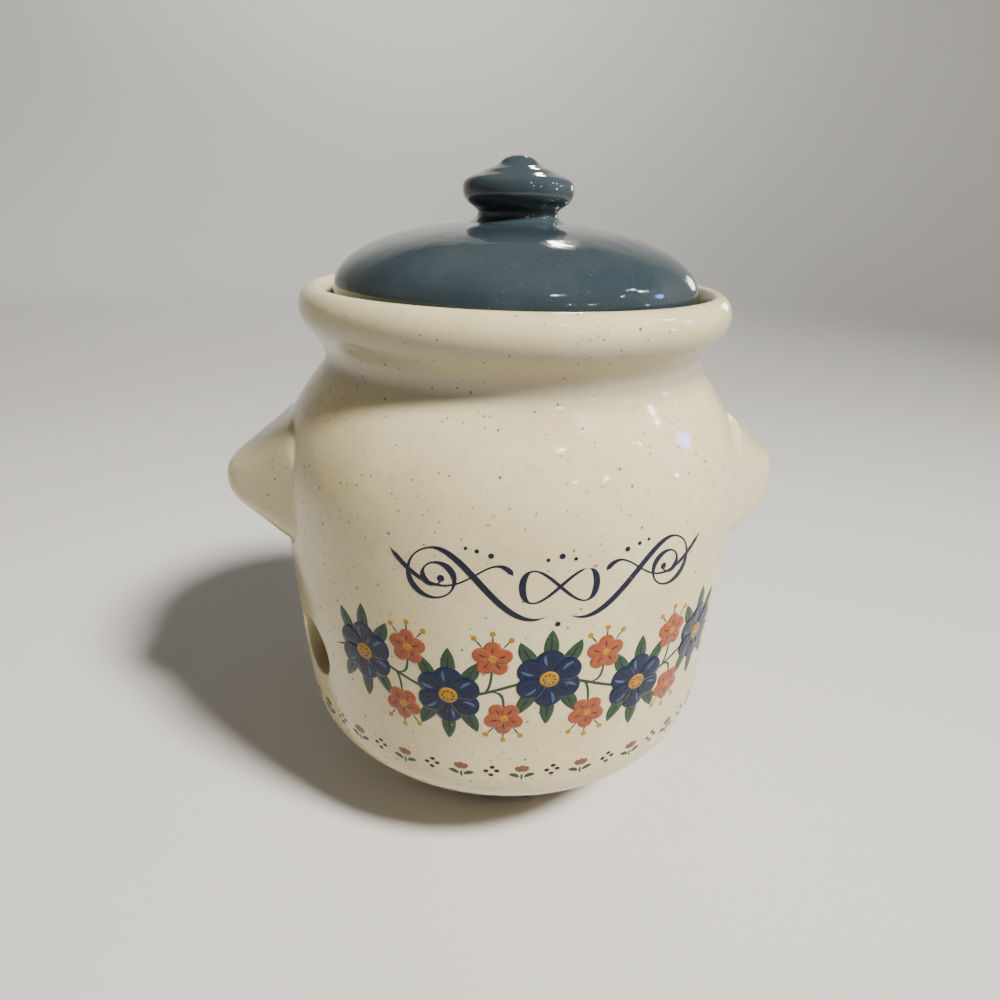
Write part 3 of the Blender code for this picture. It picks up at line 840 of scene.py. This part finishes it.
def pen_line(path, thick=PEN_THICK, side=1.0, nib=PEN_SLANT):
    """A pen stroke, mirrored to one side: widest where it runs across the nib's slant, with
    tapered ends."""
    run = np.gradient(path, axis=0)
    slant = np.arctan2(run[:, 1], run[:, 0]) - nib
    ends = np.linspace(0.0, 1.0, len(path))
    taper = np.clip(30.0 * np.minimum(ends, 1.0 - ends), 0.0, 1.0)
    width = (PEN_THIN + (thick - PEN_THIN) * np.abs(np.sin(slant)) ** 3.0) * taper
    place = path * (side, 1.0) + (FLOURISH_MIDDLE, FLOURISH_HEIGHT)
    return stroke(place, 0.5 * width)


def flourish(inks):
    """A pen flourish, the same to both sides: a knot of two loops between scrolls that end in
    ball points, crossed by a waving line."""
    t = np.linspace(0.0, math.tau, 241)
    knot = np.stack([0.0082 * np.sin(t + 0.8), 0.0040 * np.sin(2 * t + 1.6)], axis=1)
    lines = [pen_line(knot, nib=0.0)]
    turn = np.linspace(0.0, 1.0, 170)
    angle = math.radians(185) + turn * math.radians(615)
    size = 0.0014 + 0.0056 * turn ** 1.15
    scroll = np.stack([SCROLL_PLACE + size * np.cos(angle), 0.0010 + size * np.sin(angle)],
                      axis=1)
    ahead = (scroll[-1] - scroll[-2]) / np.linalg.norm(scroll[-1] - scroll[-2])
    sweep = bezier(scroll[-1], scroll[-1] + 0.0085 * ahead, (0.0120, -0.0135),
                   (0.0022, -0.0072), 90)
    wave = bezier((0.0100, 0.0026), (0.0165, 0.0125), (0.0215, -0.0125), (0.0378, 0.0062), 130)
    for side in (-1.0, 1.0):
        lines.append(pen_line(np.vstack([scroll, sweep]), side=side))
        lines.append(pen_line(wave, WAVE_THICK, side))
        for x, z, width in ((SCROLL_PLACE - 0.0014, 0.0008, 0.0017), (0.0150, 0.0074, 0.0013),
                            (0.0180, 0.0083, 0.0010), (0.0204, 0.0088, 0.0008),
                            (0.0030, 0.0066, 0.0009)):
            lines.append(dot((FLOURISH_MIDDLE + side * x, FLOURISH_HEIGHT + z), width, layer=1))
    for z, width in ((0.0074, 0.0014), (-0.0096, 0.0013)):
        lines.append(dot((FLOURISH_MIDDLE, FLOURISH_HEIGHT + z), width, layer=1))
    print_piece("pen_flourish", lines, inks["pen"])


def add(tree, kind, inputs=None, **settings):
    """A new node with its settings; an input given as a socket is linked, else it is set."""
    made = tree.nodes.new(kind)
    for key, value in settings.items():
        setattr(made, key, value)
    for key, value in (inputs or {}).items():
        if isinstance(value, bpy.types.NodeSocket):
            tree.links.new(value, made.inputs[key])
        else:
            made.inputs[key].default_value = value
    return made


def ramp(tree, value, low, high, start=0.0, end=1.0):
    """A value carried from low..high to start..end, eased at both ends."""
    made = add(tree, "ShaderNodeMapRange", {0: value, 1: low, 2: high, 3: start, 4: end},
               interpolation_type="SMOOTHSTEP")
    return made.outputs[0]


def blend(tree, amount, first, second):
    """Two colours mixed by an amount."""
    made = add(tree, "ShaderNodeMix", {0: amount, 6: first, 7: second}, data_type="RGBA")
    return made.outputs[2]


def product(tree, first, second, operation="MULTIPLY"):
    """Two values multiplied, or joined by another operation."""
    made = add(tree, "ShaderNodeMath", {0: first, 1: second}, operation=operation)
    return made.outputs[0]


def noise(tree, place, scale, detail=2.0):
    """Soft noise, so many grains to a metre."""
    made = add(tree, "ShaderNodeTexNoise", {"Vector": place, "Scale": scale, "Detail": detail})
    return made.outputs[0]


def near(tree, value, middle, inner, outer):
    """One where a value is within inner of a middle, down to nothing at outer from it."""
    off = product(tree, value, middle, "SUBTRACT")
    off = add(tree, "ShaderNodeMath", {0: off}, operation="ABSOLUTE").outputs[0]
    return ramp(tree, off, inner, outer, 1.0, 0.0)


def specked(tree, place, colour, layers):
    """A colour with specks: in each layer one in a share of the cells, each of its own size,
    with a soft edge."""
    for scale, size, share, strength, tint in layers:
        cells = add(tree, "ShaderNodeTexVoronoi", {"Vector": place, "Scale": scale})
        lot = add(tree, "ShaderNodeSeparateColor", {0: cells.outputs["Color"]})
        reach = ramp(tree, lot.outputs[0], 1.0 - share, 1.0, 0.0, size)
        inside = product(tree, reach, cells.outputs["Distance"], "SUBTRACT")
        spot = ramp(tree, inside, 0.0, 0.22 * size)
        colour = blend(tree, product(tree, spot, strength), colour, tint)
    return colour


def about_axis(tree, place):
    """Distance from the turned axis, and height, as two values."""
    spot = add(tree, "ShaderNodeSeparateXYZ", {0: place})
    flat = add(tree, "ShaderNodeCombineXYZ", {0: spot.outputs[0], 1: spot.outputs[1]})
    radius = add(tree, "ShaderNodeVectorMath", {0: flat.outputs[0]}, operation="LENGTH")
    return radius.outputs["Value"], spot.outputs[2]


def ripple(tree, place, layers, thrown=True):
    """The glaze's skin: noise bumps of several sizes laid over one another, and on a thrown
    piece the faint rings that the potter's fingers leave, as noise of radius and height."""
    bumps = [(noise(tree, place, scale), depth) for scale, depth in layers]
    if thrown:
        radius, height = about_axis(tree, place)
        ring = add(tree, "ShaderNodeCombineXYZ", {0: radius, 2: height})
        bumps.append((noise(tree, ring.outputs[0], RING_SCALE, 1.5), RING_DEPTH))
    normal = None
    for value, depth in bumps:
        inputs = {"Height": value, "Strength": 1.0, "Distance": depth}
        if normal is not None:
            inputs["Normal"] = normal
        normal = add(tree, "ShaderNodeBump", inputs).outputs[0]
    return normal


def new_finish(name):
    """A new material with its node tree and its object coordinates."""
    material = bpy.data.materials.new(name)
    material.use_nodes = True
    place = add(material.node_tree, "ShaderNodeTexCoord").outputs["Object"]
    return material, material.node_tree, place


def finish(material, colour, roughness, ior=None, normal=None):
    """A material's shader given its colour, roughness, mirror strength and skin."""
    tree = material.node_tree
    shader = tree.nodes["Principled BSDF"]
    for key, value in (("Base Color", colour), ("Roughness", roughness), ("Normal", normal)):
        if isinstance(value, bpy.types.NodeSocket):
            tree.links.new(value, shader.inputs[key])
        elif value is not None:
            shader.inputs[key].default_value = value
    if ior is not None:
        shader.inputs["IOR"].default_value = ior
    return material


def bare_clay(tree, amount, colour, roughness):
    """Glaze giving way to bare, rough clay by an amount."""
    colour = blend(tree, amount, colour, CLAY)
    return colour, product(tree, roughness, product(tree, amount, 0.72), "ADD")


def cream_glaze(name, thrown=False):
    """Glossy cream glaze over stoneware: soft clouds, iron specks and a rippled skin. The
    thrown wall's glaze carries a brown band of painted shade under its lip and painted shade
    towards the foot, and leaves bare clay on the foot ring and on the ledge that the lid sits
    on."""
    material, tree, place = new_finish(name)
    clouds = noise(tree, place, 34.0, 4.0)
    grain = noise(tree, place, 420.0, 3.0)
    colour = blend(tree, ramp(tree, clouds, 0.35, 0.68), CREAM, CREAM_DEEP)
    colour = blend(tree, ramp(tree, grain, 0.50, 0.80, 0.0, 0.35), colour, CREAM_GRAIN)
    if thrown:
        radius, height = about_axis(tree, place)
        # Painted shade: a brown band under the lip, darkest between the neck and the lip
        lip_shade = near(tree, height, LIP_SHADE_HEIGHT, LIP_SHADE_INNER, LIP_SHADE_OUTER)
        colour = blend(tree, product(tree, lip_shade, LIP_SHADE_STRENGTH), colour, LIP_SHADE_BROWN)
        # Painted shade: browner and darker towards the foot
        colour = blend(tree, ramp(tree, height, 0.012, 0.036, 0.35, 0.0), colour, FOOT_SHADE_BROWN)
    colour = specked(tree, place, colour, CREAM_SPECKS)
    roughness = ramp(tree, clouds, 0.3, 0.7, 0.07, 0.12)
    if thrown:
        wave = product(tree, grain, 0.0016)
        foot = ramp(tree, product(tree, height, wave, "SUBTRACT"), 0.0010, 0.0014, 1.0, 0.0)
        ledge = product(tree, near(tree, height, SEAT_HEIGHT, 0.00015, 0.0005),
                        ramp(tree, radius, GALLERY_RADIUS - 0.0007, GALLERY_RADIUS - 0.0002,
                             1.0, 0.0))
        colour, roughness = bare_clay(tree, product(tree, foot, ledge, "MAXIMUM"), colour,
                                      roughness)
    return finish(material, colour, roughness, CREAM_IOR,
                  ripple(tree, place, CREAM_SKIN, thrown))


def slate_glaze(name):
    """Glossy slate blue glaze: deep and pooled in places, with fine pale and dark specks, and
    wiped off the flange that sits in the pot."""
    material, tree, place = new_finish(name)
    clouds = noise(tree, place, 60.0, 5.0)
    colour = blend(tree, ramp(tree, clouds, 0.35, 0.68), SLATE, SLATE_DEEP)
    colour = specked(tree, place, colour, SLATE_SPECKS)
    _, height = about_axis(tree, place)
    flange = ramp(tree, height, LID_SEAT + 0.0001, LID_SEAT + 0.0004, 1.0, 0.0)
    colour, roughness = bare_clay(tree, flange, colour, ramp(tree, clouds, 0.3, 0.7, 0.06, 0.11))
    return finish(material, colour, roughness, SLATE_IOR, ripple(tree, place, SLATE_SKIN))


def glaze_ink(name, colour, worn):
    """A printed glaze colour: a little uneven, with pinholes where the print is worn."""
    material, tree, place = new_finish(name)
    clouds = noise(tree, place, 900.0, 3.0)
    shade = blend(tree, ramp(tree, clouds, 0.35, 0.70), (*colour, 1.0),
                  (*(0.78 * c for c in colour), 1.0))
    shade = blend(tree, ramp(tree, clouds, 0.66, 0.80, 0.0, worn), shade, WORN_PRINT)
    return finish(material, shade, ramp(tree, clouds, 0.3, 0.7, 0.10, 0.16), INK_IOR,
                  ripple(tree, place, INK_SKIN))


def floor_sweep():
    """A pale round floor that curves up all round, far off: height = rise (r - flat)^2 past
    the flat middle."""
    angle = np.linspace(0.0, math.tau, FLOOR_COLUMNS, endpoint=False)
    radius = np.concatenate([[0.0, 0.3, 0.7], np.linspace(1.1, FLOOR_EDGE, 34)])[:, None]
    height = FLOOR_RISE * np.maximum(radius - FLOOR_FLAT, 0.0) ** 2
    points = np.stack([radius * np.sin(angle), -radius * np.cos(angle), height + 0.0 * angle],
                      axis=-1)
    faces = quads(len(radius), FLOOR_COLUMNS)[:, ::-1]
    material, tree, place = new_finish("pale_floor")
    shade = blend(tree, noise(tree, place, 3.0), *FLOOR_SHADES)
    finish(material, shade, 0.9)
    floor = surface("floor_sweep", points.reshape(-1, 3), faces, material, closed=False)


def soft_light(name, place, aim, size, watts, colour, beam=180.0, shines=True, glints=True):
    """A round soft light at a place, turned towards a point, its beam so many degrees wide.
    It may be one that shines but leaves no glint, or one that only leaves a glint."""
    lamp = bpy.data.lights.new(name, "AREA")
    lamp.shape = "DISK"
    lamp.size = size
    lamp.energy = watts
    lamp.color = colour
    lamp.spread = math.radians(beam)
    thing = bpy.data.objects.new(name, lamp)
    away = np.array(place) - np.array(aim)
    away = away / np.linalg.norm(away)
    side = np.cross((0.0, 0.0, 1.0), away)
    side = side / np.linalg.norm(side)
    up = np.cross(away, side)
    turn = Matrix([side.tolist(), up.tolist(), away.tolist()]).transposed()
    thing.matrix_world = Matrix.Translation(place) @ turn.to_4x4()
    thing.visible_camera = False
    thing.visible_diffuse = shines
    thing.visible_glossy = glints
    bpy.context.scene.collection.objects.link(thing)


def lights():
    """Soft studio light: a key from the right held to the pot, washes on the cove all round,
    small lamps that only leave glints, and a room that is dim and warm towards the left."""
    soft_light("key_right", KEY_PLACE, AIM, size=0.34, watts=11.8, colour=WARM, beam=60.0,
               glints=False)
    for name, turn, watts in WASHES:
        ahead = np.array([-math.sin(math.radians(turn)), math.cos(math.radians(turn)), 0.0])
        soft_light("wash_" + name, 0.9 * ahead + (0.0, 0.0, 1.5), 2.2 * ahead + (0.0, 0.0, 0.5),
                   size=0.80, watts=watts, colour=WASH, beam=140.0)
    for name, turn, rise, size, watts, colour in GLINTS:
        turn, rise = math.radians(turn), math.radians(rise)
        way = np.array([math.cos(rise) * math.sin(turn), -math.cos(rise) * math.cos(turn),
                        math.sin(rise)])
        soft_light(name, AIM + GLINT_DISTANCE * way, AIM, size, watts, colour, shines=False)
    world = bpy.data.worlds.new("room")
    world.use_nodes = True
    tree = world.node_tree
    shade = tree.nodes["Background"]
    way = add(tree, "ShaderNodeTexCoord").outputs["Generated"]
    parts = add(tree, "ShaderNodeSeparateXYZ", {0: way})
    side = blend(tree, ramp(tree, parts.outputs[0], -0.8, 0.6), ROOM_LEFT, ROOM_RIGHT)
    colour = blend(tree, ramp(tree, parts.outputs[2], 0.15, 0.95), side, (1.0, 1.0, 1.0, 1.0))
    tree.links.new(colour, shade.inputs[0])
    tree.links.new(ramp(tree, parts.outputs[2], 0.0, 0.9, 0.03, 0.21), shade.inputs[1])
    bpy.context.scene.world = world


def camera():
    """The photograph's viewpoint, turned from the lens's bearing, yaw, pitch and roll."""
    yaw, pitch, roll = CAMERA_YAW, CAMERA_PITCH, CAMERA_ROLL
    ahead = np.array([math.sin(yaw) * math.cos(pitch), math.cos(yaw) * math.cos(pitch),
                      math.sin(pitch)])
    level = np.array([math.cos(yaw), -math.sin(yaw), 0.0])
    above = np.cross(level, ahead)
    right = math.cos(roll) * level + math.sin(roll) * above
    up = math.cos(roll) * above - math.sin(roll) * level
    turn = Matrix([right.tolist(), up.tolist(), (-ahead).tolist()]).transposed().to_4x4()
    stand = Matrix.Translation((0.0, -CAMERA_DISTANCE, CAMERA_HEIGHT))
    lens = bpy.data.cameras.new("viewpoint")
    lens.lens = LENS_MM
    lens.sensor_width = SENSOR_MM
    lens.clip_start = NEAREST_SEEN
    thing = bpy.data.objects.new("viewpoint", lens)
    thing.matrix_world = Matrix.Rotation(CAMERA_BEARING, 4, "Z") @ stand @ turn
    bpy.context.scene.collection.objects.link(thing)
    bpy.context.scene.camera = thing


wall_glaze = cream_glaze("cream_wall_glaze", thrown=True)
lug_glaze = cream_glaze("cream_lug_glaze")
lid_glaze = slate_glaze("slate_lid_glaze")
inks = {name: glaze_ink(name + "_print", colour, worn) for name, (colour, worn) in INKS.items()}

crock_wall(wall_glaze)
lug("lug_left", "left_lug", -1.0, lug_glaze)
lug("lug_right", "right_lug", 1.0, lug_glaze)
turned_piece("lid_dome_glazed", "lid_dome", lid_outline(), LID_COLUMNS, lid_glaze)
turned_piece("lid_knob_turned", "lid_knob", knob_outline(), KNOB_COLUMNS, lid_glaze)
border(inks)
garland(inks)
flourish(inks)
floor_sweep()
lights()
camera()
